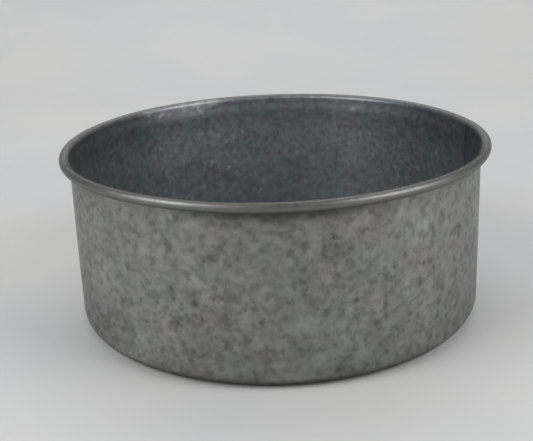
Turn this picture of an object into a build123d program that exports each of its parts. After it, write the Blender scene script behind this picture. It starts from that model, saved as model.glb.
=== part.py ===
from build123d import *

import math
import os

# Galvanised oil drain pan: one drawn steel pan, with its rim curled round a steel wire hoop.
#
# Millimetres. The origin is the centre of the base, on the surface that the pan stands on.
# +Z is up, along the axis of the round wall.

# Driving dimensions
RIM_DIAMETER = 362.0  # over the curled rim
HEIGHT = 148.5  # floor to the top of the rim
WALL_DIAMETER = 345.6  # outside of the upright wall
CORNER_RADIUS = 14.0  # outside, where the wall meets the base
SHEET = 0.85  # 22 gauge galvanised sheet
WIRE_DIAMETER = 6.35  # quarter-inch round wire in the rim
WIRE_CLEARANCE = 0.05  # all round, between the wire and the curl

# The middle of the base is drawn up, so that the pan stands on a flat ring
PANEL_RISE = 2.0
PANEL_RADIUS = 138.0
STEP_RADIUS = 9.0  # of both bends of the step, in the middle of the sheet

# Just under the rim the wall leans out a little to meet the curl
FLARE_HEIGHT = 14.0
CURL_TURN = 312.0  # degrees that the sheet turns round the wire

# The hoop is one length of wire, and its two ends meet inside the curl
WIRE_JOINT_GAP = 1.2
WIRE_JOINT_ANGLE = 205.0  # degrees round from +X

# Worked out from those
CURL_RADIUS = WIRE_DIAMETER / 2 + WIRE_CLEARANCE + SHEET  # outside of the curl
CURL_MIDDLE = CURL_RADIUS - SHEET / 2  # middle of the sheet in the curl
CURL_CENTRE_R = RIM_DIAMETER / 2 - CURL_RADIUS
CURL_CENTRE_Z = HEIGHT - CURL_RADIUS
WALL_MIDDLE_R = (WALL_DIAMETER - SHEET) / 2
FLARE_OFFSET = CURL_CENTRE_R - CURL_MIDDLE - WALL_MIDDLE_R


class SheetPath:
    """The middle of the sheet in section, followed from the axis outwards.

    X is the distance from the axis and Y is the height.
    """

    def __init__(self, start):
        self.point = Vector(*start)
        self.heading = Vector(1, 0)
        self.edges = []

    def straight(self, length):
        """A flat stretch along the heading."""
        self.add(Line(self.point, self.point + self.heading * length))

    def bend(self, radius, degrees):
        """An arc that leaves along the heading. Positive turns are anticlockwise."""
        self.add(JernArc(self.point, self.heading, radius, degrees))

    def add(self, edge):
        self.edges.append(edge)
        self.point = edge @ 1
        self.heading = edge % 1

    def section(self, thickness):
        """The closed outline of the sheet, with square ends."""
        sides = [self.side(offset) for offset in (-thickness / 2, thickness / 2)]
        ends = [Line(sides[0] @ t, sides[1] @ t) for t in (0, 1)]
        return make_face(Wire(sides[0].edges() + sides[1].edges() + ShapeList(ends)))

    def side(self, offset):
        """One face of the sheet: the middle line moved sideways, arc for arc."""
        side = SheetPath(self.edges[0] @ 0 + Vector(0, offset))
        for edge in self.edges:
            if edge.geom_type == GeomType.LINE:
                side.straight(edge.length)
                continue
            turn = math.degrees(edge.length / edge.radius)
            anticlockwise = (edge @ 0 - edge.arc_center).cross(edge % 0).Z > 0
            if anticlockwise:
                side.bend(edge.radius - offset, turn)
            else:
                side.bend(edge.radius + offset, -turn)
        return Wire(side.edges)


def two_bends(offset, radius):
    """Degrees of each of two opposite bends of one radius that move the sheet sideways by an offset."""
    return math.degrees(math.acos(1 - offset / (2 * radius)))


def revolved(face, degrees=360.0):
    """A section drawn in X and Y, stood up in the XZ plane and turned about Z."""
    return revolve(Plane.XZ * face, axis=Axis.Z, revolution_arc=degrees)


def pan_shell():
    """Base, corner, wall and curl, drawn from one round blank."""
    path = SheetPath((0, PANEL_RISE + SHEET / 2))
    path.straight(PANEL_RADIUS)

    step_turn = two_bends(PANEL_RISE, STEP_RADIUS)
    path.bend(STEP_RADIUS, -step_turn)
    path.bend(STEP_RADIUS, step_turn)

    corner = CORNER_RADIUS - SHEET / 2
    path.straight(WALL_MIDDLE_R - corner - path.point.X)
    path.bend(corner, 90)

    flare_turn = 2 * math.degrees(math.atan(FLARE_OFFSET / FLARE_HEIGHT))
    flare_radius = FLARE_HEIGHT / (2 * math.sin(math.radians(flare_turn)))
    path.straight(CURL_CENTRE_Z - FLARE_HEIGHT - path.point.Y)
    path.bend(flare_radius, -flare_turn)
    path.bend(flare_radius, flare_turn)

    path.bend(CURL_MIDDLE, -CURL_TURN)
    return revolved(path.section(SHEET))


def rim_wire():
    """The hoop inside the curl: one length of round wire, bent to a ring with its ends meeting."""
    gap_turn = math.degrees(WIRE_JOINT_GAP / CURL_CENTRE_R)
    section = Pos(CURL_CENTRE_R, CURL_CENTRE_Z) * Circle(WIRE_DIAMETER / 2)
    return Rot(0, 0, WIRE_JOINT_ANGLE + gap_turn / 2) * revolved(section, 360 - gap_turn)


PARTS = {
    "pan_shell": pan_shell,
    "rim_wire": rim_wire,
}

os.makedirs("parts", exist_ok=True)
for name, make in PARTS.items():
    export_step(make(), f"parts/{name}.step")
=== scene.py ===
"""Looks of the galvanised oil drain pan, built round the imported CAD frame.

Metres, in the CAD's frame: the origin is the centre of the base, and +Z is up.
"""

import math

import bpy
import numpy as np
from mathutils import Matrix, Vector


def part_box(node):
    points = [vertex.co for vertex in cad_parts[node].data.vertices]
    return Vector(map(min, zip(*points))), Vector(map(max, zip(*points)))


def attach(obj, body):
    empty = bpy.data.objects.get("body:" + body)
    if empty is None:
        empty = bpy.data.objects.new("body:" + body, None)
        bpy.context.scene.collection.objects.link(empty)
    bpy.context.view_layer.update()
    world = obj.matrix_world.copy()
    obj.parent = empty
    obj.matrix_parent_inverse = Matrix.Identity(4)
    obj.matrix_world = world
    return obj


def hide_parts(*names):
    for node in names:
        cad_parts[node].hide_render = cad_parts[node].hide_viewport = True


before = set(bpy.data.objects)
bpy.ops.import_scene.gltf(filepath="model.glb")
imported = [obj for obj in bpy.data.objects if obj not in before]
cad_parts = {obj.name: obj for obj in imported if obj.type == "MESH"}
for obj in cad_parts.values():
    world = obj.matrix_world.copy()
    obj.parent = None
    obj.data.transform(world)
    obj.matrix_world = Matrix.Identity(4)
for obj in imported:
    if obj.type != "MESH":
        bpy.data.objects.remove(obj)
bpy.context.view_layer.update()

MM = 0.001

# ---------------------------------------------------------------- sizes
# The driving sizes come from the frame, and the rest are the sheet's own.

_, SHELL_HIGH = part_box("pan_shell")
WIRE_LOW, WIRE_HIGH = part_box("rim_wire")

RIM_RADIUS = SHELL_HIGH.x
HEIGHT = SHELL_HIGH.z
WIRE_RADIUS = (WIRE_HIGH.z - WIRE_LOW.z) / 2

SHEET = 0.85 * MM
WALL_GAP = 8.2 * MM  # from the outside of the wall to the outside of the rim
CORNER_RADIUS = 14.0 * MM
PANEL_RISE = 2.0 * MM
PANEL_RADIUS = 138.0 * MM
STEP_RADIUS = 9.0 * MM
FLARE_HEIGHT = 14.0 * MM
CURL_TURN = math.radians(312.0)
WIRE_JOINT_ANGLE = math.radians(205.0)
WIRE_JOINT_GAP = 1.2 * MM

CURL_CENTRE_Z = (WIRE_HIGH.z + WIRE_LOW.z) / 2
CURL_RADIUS = HEIGHT - CURL_CENTRE_Z
CURL_MIDDLE = CURL_RADIUS - SHEET / 2
CURL_CENTRE_R = RIM_RADIUS - CURL_RADIUS
WALL_RADIUS = RIM_RADIUS - WALL_GAP
WALL_MIDDLE_R = WALL_RADIUS - SHEET / 2
FLARE_OFFSET = CURL_CENTRE_R - CURL_MIDDLE - WALL_MIDDLE_R

AROUND = 448  # steps round the pan
WIRE_AROUND = 360
WIRE_SIDES = 20
SHARP_ANGLE = math.radians(50.0)  # a fold of the mesh sharper than this is an edge


# ---------------------------------------------------------------- the sheet in section


class SheetLine:
    """The middle of the sheet in section, as sampled points, from the axis outwards."""

    def __init__(self, radius, height):
        self.place = np.array([radius, height])
        self.angle = 0.0
        self.points = [self.place.copy()]
        self.normals = [np.array([0.0, 1.0])]

    def step(self, place, angle):
        """A sampled point, with the normal on the left of the line there."""
        self.points.append(place.copy())
        self.normals.append(np.array([-math.sin(angle), math.cos(angle)]))

    def straight(self, length, steps):
        start = self.place.copy()
        along = np.array([math.cos(self.angle), math.sin(self.angle)])
        for i in range(1, steps + 1):
            self.place = start + along * length * i / steps
            self.step(self.place, self.angle)

    def bend(self, radius, turn, steps):
        """A positive turn is anticlockwise, in radians."""
        side = math.copysign(1.0, turn)
        left = np.array([-math.sin(self.angle), math.cos(self.angle)])
        centre = self.place + left * radius * side
        start = self.angle
        for i in range(1, steps + 1):
            self.angle = start + turn * i / steps
            out = np.array([math.sin(self.angle), -math.cos(self.angle)])
            self.place = centre + out * radius * side
            self.step(self.place, self.angle)


def sheet_line():
    """Base, corner, wall and curl. The normals point into the pan, and in the curl away from the wire."""
    line = SheetLine(0.0, PANEL_RISE + SHEET / 2)
    line.straight(PANEL_RADIUS, steps=14)

    step_turn = math.acos(1 - PANEL_RISE / (2 * STEP_RADIUS))
    line.bend(STEP_RADIUS, -step_turn, steps=4)
    line.bend(STEP_RADIUS, step_turn, steps=4)

    corner = CORNER_RADIUS - SHEET / 2
    line.straight(WALL_MIDDLE_R - corner - line.place[0], steps=3)
    line.bend(corner, math.pi / 2, steps=9)

    flare_turn = 2 * math.atan(FLARE_OFFSET / FLARE_HEIGHT)
    flare_radius = FLARE_HEIGHT / (2 * math.sin(flare_turn))
    line.straight(CURL_CENTRE_Z - FLARE_HEIGHT - line.place[1], steps=34)
    line.bend(flare_radius, -flare_turn, steps=4)
    line.bend(flare_radius, flare_turn, steps=3)
    line.bend(CURL_MIDDLE, -CURL_TURN, steps=24)
    return np.array(line.points), np.array(line.normals)


def smooth(low, high, x):
    """0 below low, 1 above high, and an eased rise between them."""
    t = np.clip((x - low) / (high - low), 0, 1)
    return t * t * (3 - 2 * t)


# ---------------------------------------------------------------- how a real pressing is not perfect

rng = np.random.default_rng(37)


class Ripple:
    """A sum of waves round the pan, with seeded sizes and phases. amplitude is its root mean square."""

    def __init__(self, lowest, highest, count, amplitude):
        self.waves = rng.integers(lowest, highest + 1, count)
        self.phases = rng.uniform(0, 2 * math.pi, count)
        sizes = rng.uniform(0.5, 1.0, count)
        self.sizes = sizes / math.sqrt((sizes**2).sum() / 2) * amplitude

    def at(self, angle):
        angle = np.asarray(angle)[..., None]
        return (self.sizes * np.cos(self.waves * angle + self.phases)).sum(-1)


OUT_OF_ROUND = Ripple(2, 4, 3, 0.22 * MM)
DRAW_RIPPLE = Ripple(14, 46, 12, 0.035 * MM)
RIM_WAVE = Ripple(3, 11, 6, 0.10 * MM)
CURL_PUCKER = Ripple(38, 72, 8, 0.022 * MM)

PANEL_CROWN = 0.35 * MM  # how far the raised middle of the base domes up
DRAW_TWIST = 0.25  # radians that the drawing ripple turns over the wall's height

# Knocks from use: degrees round from +X, height, width, and depth inwards
DENTS = [
    (232.0, 61 * MM, 13 * MM, 0.30 * MM),
    (318.0, 96 * MM, 10 * MM, 0.22 * MM),
    (285.0, 34 * MM, 16 * MM, -0.18 * MM),
    (20.0, 72 * MM, 18 * MM, 0.45 * MM),
    (68.0, 50 * MM, 12 * MM, 0.28 * MM),
    (121.0, 88 * MM, 15 * MM, 0.40 * MM),
    (176.0, 45 * MM, 11 * MM, 0.25 * MM),
]


def warp(radius, height, angle):
    """How far the metal is moved outwards and upwards at a place on the perfect pan."""
    wall = smooth(CORNER_RADIUS, 4 * CORNER_RADIUS, height)
    upright = smooth(PANEL_RADIUS, WALL_RADIUS, radius)
    up_to_rim = 1 - smooth(HEIGHT - 2 * FLARE_HEIGHT, HEIGHT - FLARE_HEIGHT, height)
    rim = smooth(HEIGHT - 2 * FLARE_HEIGHT, HEIGHT - 2 * CURL_RADIUS, height)

    outwards = OUT_OF_ROUND.at(angle) * upright * (0.35 + 0.65 * wall)
    outwards += DRAW_RIPPLE.at(angle + DRAW_TWIST * height / HEIGHT) * wall * up_to_rim
    outwards += CURL_PUCKER.at(angle) * rim
    for degrees, level, width, depth in DENTS:
        turn = np.angle(np.exp(1j * (angle - math.radians(degrees))))
        across = turn * WALL_RADIUS
        spread = (across**2 + (height - level) ** 2) / (2 * (width / 2) ** 2)
        outwards -= depth * np.exp(-spread) * upright

    upwards = RIM_WAVE.at(angle) * rim
    panel = 1 - smooth(0, PANEL_RADIUS, radius)
    upwards += PANEL_CROWN * panel
    return outwards, upwards


def placed(radius, height, angle):
    """Points of the real pan for a perfect pan's radius, height and angle."""
    outwards, upwards = warp(radius, height, angle)
    r = radius + outwards
    return np.stack([r * np.cos(angle), r * np.sin(angle), height + upwards], -1)


# ---------------------------------------------------------------- meshes


def new_mesh(name, points, faces):
    mesh = bpy.data.meshes.new(name)
    mesh.from_pydata(points.tolist(), [], faces)
    mesh.validate()
    mesh.shade_smooth()
    piece = bpy.data.objects.new(name, mesh)
    bpy.context.scene.collection.objects.link(piece)
    return piece


def point_value(piece, name, values):
    attribute = piece.data.attributes.new(name, "FLOAT", "POINT")
    attribute.data.foreach_set("value", np.asarray(values, np.float32))


def pan_mesh():
    """The whole sheet as one closed skin, with its inside, its outside and the curl's cut edge."""
    middle, normals = sheet_line()
    outside = middle - normals * SHEET / 2
    inside = middle + normals * SHEET / 2
    # Out along the underside and back along the inside, without the two points on the axis
    loop = np.concatenate([outside[1:], inside[:0:-1]])
    rows = len(loop)

    angles = np.arange(AROUND) * 2 * math.pi / AROUND
    radius = np.repeat(loop[:, 0], AROUND)
    height = np.repeat(loop[:, 1], AROUND)
    points = placed(radius, height, np.tile(angles, rows))
    poles = placed(np.zeros(2), np.array([outside[0, 1], inside[0, 1]]), np.zeros(2))

    faces = []
    for row in range(rows - 1):
        for i in range(AROUND):
            j = (i + 1) % AROUND
            a, b = row * AROUND, (row + 1) * AROUND
            faces.append((a + i, a + j, b + j, b + i))
    under, top = rows * AROUND, rows * AROUND + 1
    last = (rows - 1) * AROUND
    for i in range(AROUND):
        j = (i + 1) % AROUND
        faces.append((under, j, i))
        faces.append((top, last + i, last + j))

    pan = new_mesh("galvanised_pan", np.concatenate([points, poles]), faces)
    pan.data.set_sharp_from_angle(angle=SHARP_ANGLE)

    count = len(middle) - 1
    in_pan = np.repeat(np.arange(rows) >= count, AROUND).astype(float)
    point_value(pan, "inside", np.concatenate([in_pan, [0, 1]]))
    from_curl = np.hypot(loop[:, 0] - CURL_CENTRE_R, loop[:, 1] - CURL_CENTRE_Z)
    curl = 1 - smooth(CURL_RADIUS * 1.02, CURL_RADIUS * 1.5, from_curl)
    curl *= smooth(CURL_CENTRE_R - 0.9 * CURL_RADIUS, CURL_CENTRE_R - 0.4 * CURL_RADIUS, loop[:, 0])
    point_value(pan, "curl", np.concatenate([np.repeat(curl, AROUND), [0, 0]]))
    return pan


def wire_mesh():
    """The hoop in the rim: round wire with sheared ends that nearly meet."""
    gap = WIRE_JOINT_GAP / CURL_CENTRE_R
    start = WIRE_JOINT_ANGLE + gap / 2
    angles = start + np.arange(WIRE_AROUND) * (2 * math.pi - gap) / (WIRE_AROUND - 1)
    turns = np.arange(WIRE_SIDES) * 2 * math.pi / WIRE_SIDES
    out, up = warp(np.full(WIRE_AROUND, CURL_CENTRE_R), np.full(WIRE_AROUND, CURL_CENTRE_Z), angles)
    r = (CURL_CENTRE_R + out)[:, None] + WIRE_RADIUS * np.cos(turns)
    z = (CURL_CENTRE_Z + up)[:, None] + WIRE_RADIUS * np.sin(turns)
    points = np.stack([r * np.cos(angles)[:, None], r * np.sin(angles)[:, None], z], -1)

    faces = []
    for i in range(WIRE_AROUND - 1):
        for j in range(WIRE_SIDES):
            k = (j + 1) % WIRE_SIDES
            a, b = i * WIRE_SIDES, (i + 1) * WIRE_SIDES
            faces.append((a + j, b + j, b + k, a + k))
    last = (WIRE_AROUND - 1) * WIRE_SIDES
    faces.append(tuple(range(WIRE_SIDES)))
    faces.append(tuple(last + j for j in reversed(range(WIRE_SIDES))))
    wire = new_mesh("rim_wire_hoop", points.reshape(-1, 3), faces)
    wire.data.set_sharp_from_angle(angle=SHARP_ANGLE)
    return wire


# ---------------------------------------------------------------- materials

ZINC_TONE = 0.25
CURL_TONE = 0.215
# The tone added for the painted highlight just inside the back rim
RIM_HIGHLIGHT_TONE = 0.27
METALLIC = 0.80
ROUGHNESS = 0.42
CURL_ROUGHNESS = 0.44
CURL_METALLIC = 1.0

# Colours between which each surface drifts. The zinc's own tone is multiplied by its tints.
OUTSIDE_TINTS = (1.015, 1.0, 0.975, 1), (0.985, 1.02, 0.97, 1)
INSIDE_TINTS = (1.06, 1.08, 1.15, 1), (1.00, 1.10, 1.15, 1)
WIRE_TONES = (0.20, 0.20, 0.20, 1), (0.42, 0.42, 0.41, 1)
PAPER_TONES = (0.70, 0.705, 0.715, 1), (0.745, 0.742, 0.73, 1)

# Where the painted highlight inside the rim and the painted shade stripe lie, in degrees round from +X
RIM_HIGHLIGHT_TOWARDS = 122
SHADE_STRIPE_TOWARDS = 10.8


class Nodes:
    """Short ways to make shader nodes and link them."""

    def __init__(self, name):
        self.material = bpy.data.materials.new(name)
        self.material.use_nodes = True
        self.tree = self.material.node_tree
        self.shader = self.tree.nodes["Principled BSDF"]

    def node(self, kind, inputs=None, **settings):
        made = self.tree.nodes.new(kind)
        for key, value in settings.items():
            setattr(made, key, value)
        for key, value in (inputs or {}).items():
            self.put(made.inputs[key], value)
        return made

    def put(self, socket, value):
        if isinstance(value, bpy.types.NodeSocket):
            self.tree.links.new(value, socket)
        else:
            socket.default_value = value

    def math(self, operation, a, b=0.0, c=0.0):
        made = self.tree.nodes.new("ShaderNodeMath")
        made.operation = operation
        for socket, value in zip(made.inputs, (a, b, c)):
            self.put(socket, value)
        return made.outputs[0]

    def product(self, first, *others):
        """Values multiplied together."""
        for other in others:
            first = self.math("MULTIPLY", first, other)
        return first

    def total(self, first, *others):
        """Values added up."""
        for other in others:
            first = self.math("ADD", first, other)
        return first

    def less(self, value, share):
        """A value with a share of it taken away."""
        return self.math("MULTIPLY", value, self.math("SUBTRACT", 1.0, share))

    def vector(self, operation, a, b=None, scale=None):
        made = self.tree.nodes.new("ShaderNodeVectorMath")
        made.operation = operation
        self.put(made.inputs[0], a)
        if b is not None:
            self.put(made.inputs[1], b)
        if scale is not None:
            self.put(made.inputs["Scale"], scale)
        return made.outputs["Vector"]

    def mix(self, factor, a, b):
        """A colour mix. The node's colours are its inputs 6 and 7 and its output 2."""
        made = self.tree.nodes.new("ShaderNodeMix")
        made.data_type = "RGBA"
        self.put(made.inputs[0], factor)
        self.put(made.inputs[6], a)
        self.put(made.inputs[7], b)
        return made.outputs[2]

    def between(self, value, low, high, to_low=0.0, to_high=1.0):
        """A value moved from one range to another, with a smooth rise, and held to it."""
        made = self.tree.nodes.new("ShaderNodeMapRange")
        made.interpolation_type = "SMOOTHSTEP"
        for socket, given in zip(made.inputs, (value, low, high, to_low, to_high)):
            self.put(socket, given)
        return made.outputs[0]

    def noise(self, place, size, detail=2.0, roughness=0.5):
        """Soft noise, whose lumps are about size across, in metres."""
        inputs = {"Vector": place, "Scale": 1 / size, "Detail": detail, "Roughness": roughness}
        return self.node("ShaderNodeTexNoise", inputs)

    def cells(self, place, size):
        """Cells about size across, in metres."""
        return self.node("ShaderNodeTexVoronoi", {"Vector": place, "Scale": 1 / size})

    def place(self):
        """The point on the piece, in the row frame."""
        return self.node("ShaderNodeTexCoord").outputs["Object"]

    def stretched(self, place, scale):
        """The place scaled along each axis: a small scale draws what is there out long."""
        return self.node("ShaderNodeMapping", {"Vector": place, "Scale": scale}).outputs[0]

    def warped(self, place, size, amount, detail=2.0):
        """The place moved by soft noise, so that what is drawn there gets ragged edges."""
        noise = self.noise(place, size, detail)
        moved = self.vector("SUBTRACT", noise.outputs["Color"], (0.5, 0.5, 0.5))
        return self.vector("ADD", place, self.vector("SCALE", moved, scale=amount))

    def random(self, cells):
        """One random number for each cell."""
        return self.node("ShaderNodeSeparateColor", {"Color": cells.outputs["Color"]}).outputs[0]

    def towards(self, axes, degrees):
        """How far out a point lies in one direction, as a share of the wall's radius."""
        turn = math.radians(degrees)
        along = self.math("MULTIPLY", axes.outputs["X"], math.cos(turn) / WALL_RADIUS)
        return self.math("MULTIPLY_ADD", axes.outputs["Y"], math.sin(turn) / WALL_RADIUS, along)

    def uneven(self, place, size, detail=2.0, roughness=0.5):
        """Soft noise round 0."""
        return self.math("SUBTRACT", self.noise(place, size, detail, roughness).outputs["Fac"], 0.5)

    def spots(self, place, size, edge, heart, share):
        """Soft round spots in some of the cells: 1 in the heart of a spot and 0 from its edge on."""
        cells = self.cells(place, size)
        spot = self.between(cells.outputs["Distance"], edge, heart)
        return self.math("MULTIPLY", spot, self.between(self.random(cells), share, 1.0))

    def value(self, name):
        """A number stored on the mesh's points."""
        return self.node("ShaderNodeAttribute", attribute_name=name).outputs["Fac"]


class SheetPoint:
    """Where a point of the sheet lies, as the shader values that its material is worked out from."""

    def __init__(self, n):
        self.place = n.place()
        self.inside = n.value("inside")
        self.outside = n.math("SUBTRACT", 1.0, self.inside)
        self.curl = n.value("curl")
        self.off_curl = n.math("SUBTRACT", 1.0, self.curl)
        self.inner_wall = n.math("MULTIPLY", self.inside, self.off_curl)
        self.axes = n.node("ShaderNodeSeparateXYZ", {"Vector": self.place})
        self.height = self.axes.outputs["Z"]
        self.front = n.towards(self.axes, 270)
        self.back = n.towards(self.axes, 90)
        across = {"X": self.axes.outputs["X"], "Y": self.axes.outputs["Y"]}
        flat = n.node("ShaderNodeCombineXYZ", across).outputs[0]
        self.radius = n.node("ShaderNodeVectorMath", {0: flat}, operation="LENGTH").outputs["Value"]


class Zinc:
    """What shows in the zinc itself. change is the whole of it, as a change of tone round 0."""

    def __init__(self, n, at):
        # Soft mottling, from a few millimetres to a few centimetres
        fine = n.uneven(n.warped(at.place, 3 * MM, 2 * MM), 6 * MM)
        patch = n.uneven(at.place, 16 * MM, detail=3)
        cloud = n.uneven(at.place, 48 * MM, detail=3)

        # Crystals, each with its own tone
        self.crystals = n.cells(n.warped(at.place, 2.5 * MM, 3.0 * MM, detail=3), 3.4 * MM)
        self.crystal_tone = n.math("SUBTRACT", n.random(self.crystals), 0.5)

        # Dark blooms outside: soft spots that gather in clusters, and smaller ragged ones
        place = n.warped(at.place, 4 * MM, 4.4 * MM)
        spots = n.spots(place, 8.8 * MM, edge=0.50, heart=0.12, share=0.42)
        place = n.warped(at.place, 2.8 * MM, 2.8 * MM)
        ragged = n.noise(place, 7.4 * MM, roughness=0.45).outputs["Fac"]
        ragged = n.between(n.math("MULTIPLY_ADD", patch, 0.35, ragged), 0.48, 0.74)
        self.dark = n.math("MULTIPLY", n.math("MAXIMUM", spots, ragged), at.outside)

        # Light flecks, which show most inside
        place = n.warped(at.place, 3 * MM, 2.6 * MM)
        flecks = n.spots(place, 8.0 * MM, edge=0.42, heart=0.08, share=0.55)

        # Drawing marks run up the wall
        upright = n.stretched(at.place, (1, 1, 0.07))
        self.streaks = n.uneven(upright, 3.4 * MM, detail=3, roughness=0.55)

        weights = [
            (self.dark, -0.34),
            (flecks, n.math("MULTIPLY_ADD", at.inner_wall, 0.27, 0.14)),
            (fine, 0.7),
            (patch, n.math("MULTIPLY_ADD", at.inside, -0.45, 0.85)),
            (cloud, n.math("MULTIPLY_ADD", at.inside, -0.4, 0.7)),
            (self.streaks, 0.25),
        ]
        self.change = n.math("MULTIPLY", self.crystal_tone, 0.12)
        for value, weight in weights:
            self.change = n.math("MULTIPLY_ADD", value, weight, self.change)


def ragged_height(n, at, size, depth):
    """The height with soft noise added, so that what ends at a height ends raggedly."""
    return n.math("MULTIPLY_ADD", n.uneven(at.place, size, detail=3), depth, at.height)


def dark_blots_and_painted_shade(n, at):
    """Dark blots below the rim with a painted shadow of the bead over them, heaviest at the front, and
    painted shade round the base corner and on the bead's underside.
    """
    # Partly dark blots and partly a painted shadow cast by the bead, made heaviest at the front
    blots_and_shadow_under_rim = n.product(
        n.between(ragged_height(n, at, 6 * MM, 12 * MM), HEIGHT - 20 * MM, HEIGHT - 9 * MM),
        n.between(at.front, 0.86, 1.0, 0.12, 0.66),
    )
    # Painted shade in the rounded corner at the base
    painted_base_shade = n.between(at.height, 11 * MM, 1.5 * MM, 0.0, 0.8)
    wall_blots_and_shade = n.product(n.math("MAXIMUM", blots_and_shadow_under_rim, painted_base_shade), at.off_curl, at.outside)
    # Painted shade on the underside of the bead
    bead_underside_shade = n.between(at.height, CURL_CENTRE_Z + 1 * MM, CURL_CENTRE_Z - 3 * MM, 0.0, 0.32)
    return n.math("MULTIPLY_ADD", bead_underside_shade, at.curl, wall_blots_and_shade)


def painted_light_and_shade_of_walls(n, at):
    """Painted light and shade over the walls, from side to side and from top to bottom."""
    # Outside: lighter round the sides of the front where the lamps' sheen lies, and darker at the very
    # front, towards the bottom, near the top and towards 314 degrees
    outside = n.total(
        n.between(at.front, 0.3, 0.75, 0.05, -0.12),
        n.between(at.front, 0.9, 1.0, 0.0, 0.11),
        n.between(at.height, 0.0, 0.5 * HEIGHT, 0.17, 0.0),
        n.between(at.height, 0.6 * HEIGHT, HEIGHT, 0.0, 0.08),
        n.between(n.towards(at.axes, 314), 0.88, 1.0, 0.0, 0.05),
    )
    # Inside: darker near the top and at the sides, and lighter at the back
    inside = n.total(
        n.between(at.height, HEIGHT - 45 * MM, HEIGHT - 12 * MM, -0.04, 0.28),
        n.between(at.back, 0.0, 0.7, 0.16, 0.0),
        n.between(at.back, 0.7, 0.95, 0.0, -0.20),
        n.between(at.back, 0.9, 1.0, 0.0, -0.13),
    )
    return n.total(n.product(outside, at.outside), n.product(inside, at.inner_wall))


def painted_shade_of_crown(n, at):
    """Painted shade on the inner side of the bead's top, along the front, where it darkens the reflection.
    """
    return n.product(
        n.between(at.radius, CURL_CENTRE_R + 0.5 * CURL_RADIUS, CURL_CENTRE_R - 0.4 * CURL_RADIUS),
        n.between(at.height, CURL_CENTRE_Z, HEIGHT - 0.5 * CURL_RADIUS),
        n.between(at.front, 0.15, 0.5),
        n.math("MULTIPLY_ADD", at.curl, 0.40, 0.30),
    )


def painted_rim_highlight(n, at):
    """A blotchy painted highlight just inside the back rim."""
    return n.product(
        n.between(ragged_height(n, at, 8 * MM, 14 * MM), HEIGHT - 10 * MM, HEIGHT - 6 * MM),
        n.between(at.height, HEIGHT - 0.2 * MM, HEIGHT - 1.6 * MM),
        n.between(n.uneven(at.place, 10 * MM), -0.12, 0.12, 0.25, 1.0),
        n.between(n.towards(at.axes, RIM_HIGHLIGHT_TOWARDS), 0.958, 0.99),
        n.between(at.radius, CURL_CENTRE_R, CURL_CENTRE_R - 1 * MM),
        at.inside,
    )


def painted_shade_stripe(n, at):
    """A painted shade stripe upright on the inner wall: a thin dark line with a fainter dark band beside
    it.
    """
    beside = n.towards(at.axes, SHADE_STRIPE_TOWARDS + 90)
    shade_line = n.between(n.math("ABSOLUTE", beside), 0.016, 0.005, 0.0, 0.5)
    shade_band = n.product(n.between(beside, 0.0, -0.004), n.between(beside, -0.4, -0.25), 0.24)
    return n.product(
        n.math("MAXIMUM", shade_line, shade_band),
        n.between(at.axes.outputs["X"], 0.0, 0.1 * WALL_RADIUS),
        n.between(at.height, 14 * MM, 40 * MM),
        at.inner_wall,
    )


def zinc_tint(n, at, rim_highlight):
    """A faint warm and green drift outside, a bluer one inside, and none where the highlight inside the rim
    is painted.
    """
    drift = n.between(n.noise(at.place, 30 * MM).outputs["Fac"], 0.35, 0.65)
    warm = n.mix(drift, *OUTSIDE_TINTS)
    cold = n.mix(drift, *INSIDE_TINTS)
    return n.mix(at.inner_wall, warm, n.mix(rim_highlight, cold, (1, 1, 1, 1)))


def zinc_normal(n, at, zinc, plain):
    """Each crystal lies at its own small angle, with a fine grain and the drawing marks over it."""
    lean = n.vector("SUBTRACT", zinc.crystals.outputs["Color"], (0.5, 0.5, 0.5))
    lean = n.vector("SCALE", lean, scale=n.math("MULTIPLY", plain, 0.04))
    normal = n.node("ShaderNodeNewGeometry").outputs["Normal"]
    leaning = n.vector("NORMALIZE", n.vector("ADD", normal, lean))
    grain = n.noise(at.place, 2 * MM, detail=3).outputs["Fac"]
    relief = n.math("MULTIPLY_ADD", zinc.streaks, 0.5, grain)
    inputs = {"Height": relief, "Strength": 0.15, "Distance": 0.1 * MM, "Normal": leaning}
    return n.node("ShaderNodeBump", inputs).outputs[0]


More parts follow.
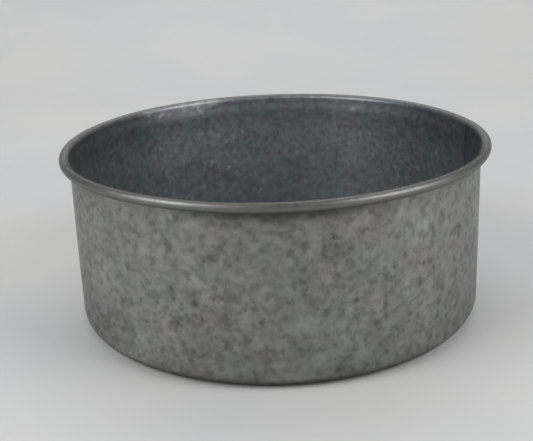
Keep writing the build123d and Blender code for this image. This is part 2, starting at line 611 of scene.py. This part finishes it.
def galvanised_sheet():
    """Hot-dip galvanised steel that has gone dull, with dark blots and painted shade under the rim, painted
    shade round the base and under the bead, painted light and shade over the walls, a painted highlight
    inside the rim and a painted shade stripe inside.
    """
    n = Nodes("galvanised_sheet")
    at = SheetPoint(n)
    zinc = Zinc(n, at)
    plain = n.math("MULTIPLY_ADD", at.curl, -0.7, 1.0)  # the bead is smoother than the walls
    blots_and_shade = dark_blots_and_painted_shade(n, at)
    crown_shade = painted_shade_of_crown(n, at)
    rim_highlight = painted_rim_highlight(n, at)

    tone = n.math("MULTIPLY_ADD", n.math("MULTIPLY", zinc.change, plain), ZINC_TONE, ZINC_TONE)
    tone = n.math("MULTIPLY", tone, n.math("MULTIPLY_ADD", at.curl, CURL_TONE / ZINC_TONE - 1, 1.0))
    # Darker by the dark blots and the painted shade under the rim, round the base and under the bead
    tone = n.less(tone, blots_and_shade)
    # Painted light and shade over the walls, and painted shade on the bead's crown
    tone = n.less(tone, n.total(painted_light_and_shade_of_walls(n, at), crown_shade))
    # A painted highlight just inside the back rim
    tone = n.math("MULTIPLY_ADD", rim_highlight, RIM_HIGHLIGHT_TONE, tone)
    # A painted shade stripe on the inner wall
    tone = n.less(tone, painted_shade_stripe(n, at))
    n.put(n.shader.inputs["Base Color"], n.vector("SCALE", zinc_tint(n, at, rim_highlight), scale=tone))

    rough = n.math("MULTIPLY_ADD", zinc.crystal_tone, 0.08, ROUGHNESS)
    rough = n.math("MULTIPLY_ADD", zinc.dark, 0.05, rough)
    rough = n.math("MULTIPLY_ADD", blots_and_shade, 0.25, rough)
    rough = n.math("MULTIPLY_ADD", rim_highlight, 0.10, rough)
    rough = n.math("MULTIPLY_ADD", crown_shade, 0.8, rough)
    rough = n.math("MULTIPLY_ADD", at.curl, CURL_ROUGHNESS - ROUGHNESS, rough)
    n.put(n.shader.inputs["Roughness"], rough)
    metallic = n.math("MULTIPLY_ADD", at.curl, CURL_METALLIC - METALLIC, METALLIC)
    n.put(n.shader.inputs["Metallic"], metallic)
    n.put(n.shader.inputs["Normal"], zinc_normal(n, at, zinc, plain))
    return n.material


def wire_steel():
    """Drawn steel wire with a finely mottled, dull skin."""
    n = Nodes("rim_wire_steel")
    place = n.place()
    mottle = n.noise(place, 2.5 * MM, detail=4).outputs["Fac"]
    n.put(n.shader.inputs["Base Color"], n.mix(mottle, *WIRE_TONES))
    n.put(n.shader.inputs["Roughness"], n.between(mottle, 0.3, 0.7, 0.35, 0.55))
    n.shader.inputs["Metallic"].default_value = 0.9
    bump = n.node("ShaderNodeBump", {"Height": mottle, "Strength": 0.3, "Distance": 0.1 * MM})
    n.put(n.shader.inputs["Normal"], bump.outputs[0])
    return n.material


def paper():
    """The studio's matt floor and backdrop, very slightly uneven."""
    n = Nodes("paper")
    cloud = n.between(n.noise(n.place(), 0.3, detail=3).outputs["Fac"], 0.3, 0.7)
    n.put(n.shader.inputs["Base Color"], n.mix(cloud, *PAPER_TONES))
    n.shader.inputs["Roughness"].default_value = 0.9
    n.shader.inputs["Specular IOR Level"].default_value = 0.1
    return n.material


# ---------------------------------------------------------------- the object

pan = pan_mesh()
pan.data.materials.append(galvanised_sheet())
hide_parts("pan_shell")
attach(pan, "root")

wire = wire_mesh()
wire.data.materials.append(wire_steel())
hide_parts("rim_wire")
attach(wire, "root")

# ---------------------------------------------------------------- the studio


def sweep():
    """Floor and backdrop in one sheet of paper that curves up behind the pan."""
    half_width, front, back, top, bend = 4.0, -4.0, 1.6, 2.6, 0.7
    floor = -0.2 * MM  # just under the base, so that the two never share a plane
    steps = 24
    across = [(front, floor), (back - bend, floor)]
    for i in range(1, steps + 1):
        turn = math.pi / 2 * i / steps
        across.append((back - bend + bend * math.sin(turn), floor + bend - bend * math.cos(turn)))
    across.append((back, top))
    points = []
    for y, z in across:
        points.append((-half_width, y, z))
        points.append((half_width, y, z))
    faces = [(2 * i, 2 * i + 1, 2 * i + 3, 2 * i + 2) for i in range(len(across) - 1)]
    made = new_mesh("paper_sweep", np.array(points), faces)
    made.data.materials.append(paper())


def area_light(name, place, aim, width, height, watts, spread=180):
    light = bpy.data.lights.new(name, "AREA")
    light.shape = "RECTANGLE"
    light.size = width
    light.size_y = height
    light.energy = watts
    light.spread = math.radians(spread)
    made = bpy.data.objects.new(name, light)
    made.location = place
    made.rotation_euler = (Vector(aim) - Vector(place)).to_track_quat("-Z", "Y").to_euler()
    bpy.context.scene.collection.objects.link(made)


def softbox(name, side, above, distance, width, height, watts):
    """A lamp aimed at the pan: degrees round from the camera's side, and degrees above."""
    turn, rise = math.radians(side), math.radians(above)
    middle = Vector((0, 0, HEIGHT / 2))
    away = Vector((math.sin(turn) * math.cos(rise), -math.cos(turn) * math.cos(rise), math.sin(rise)))
    area_light(name, middle + away * distance, middle, width, height, watts)


sweep()
softbox("left_key", side=-57, above=32, distance=1.6, width=0.9, height=1.15, watts=12.0)
softbox("right_key", side=62, above=30, distance=1.6, width=0.9, height=1.1, watts=11.4)
softbox("top_light", side=180, above=60, distance=1.9, width=2.0, height=1.6, watts=10.7)
area_light("backdrop_light", (0, 0.45, 1.5), (0, 1.2, 0.1), width=2.4, height=0.4, watts=1.0, spread=95)

# The floor's own lamps hang far to the left, to the right and in front, and point straight down
for side, (x, y) in {"left": (-2.7, -0.4), "right": (2.7, -0.4), "front": (0, -2.9)}.items():
    lamp = f"floor_light_{side}"
    area_light(lamp, (x, y, 1.5), (x, y, 0), width=2.4, height=2.4, watts=6.0, spread=120)

world = bpy.data.worlds.new("studio")
world.use_nodes = True
background = world.node_tree.nodes["Background"]
background.inputs["Color"].default_value = (0.96, 0.98, 1.0, 1)
background.inputs["Strength"].default_value = 0.22
bpy.context.scene.world = world
bpy.context.scene.view_settings.view_transform = "Standard"


def camera():
    """The main view: from the front and above, looking down at the pan, and rolled slightly."""
    distance, above, aim_left, aim_up = 0.8135, 0.3574, 0.0094, 0.0737
    rolled = math.radians(-2.22)
    lens = bpy.data.cameras.new("camera")
    lens.lens = 66.28
    lens.sensor_width = 36.0
    made = bpy.data.objects.new("camera", lens)
    place = Vector((0, -distance, above))
    aim = Vector((-aim_left, 0, aim_up))
    level = (aim - place).to_track_quat("-Z", "Y").to_matrix().to_4x4()
    roll = Matrix.Rotation(rolled, 4, "Z")
    made.matrix_world = Matrix.Translation(place) @ level @ roll
    bpy.context.scene.collection.objects.link(made)
    bpy.context.scene.camera = made


camera()
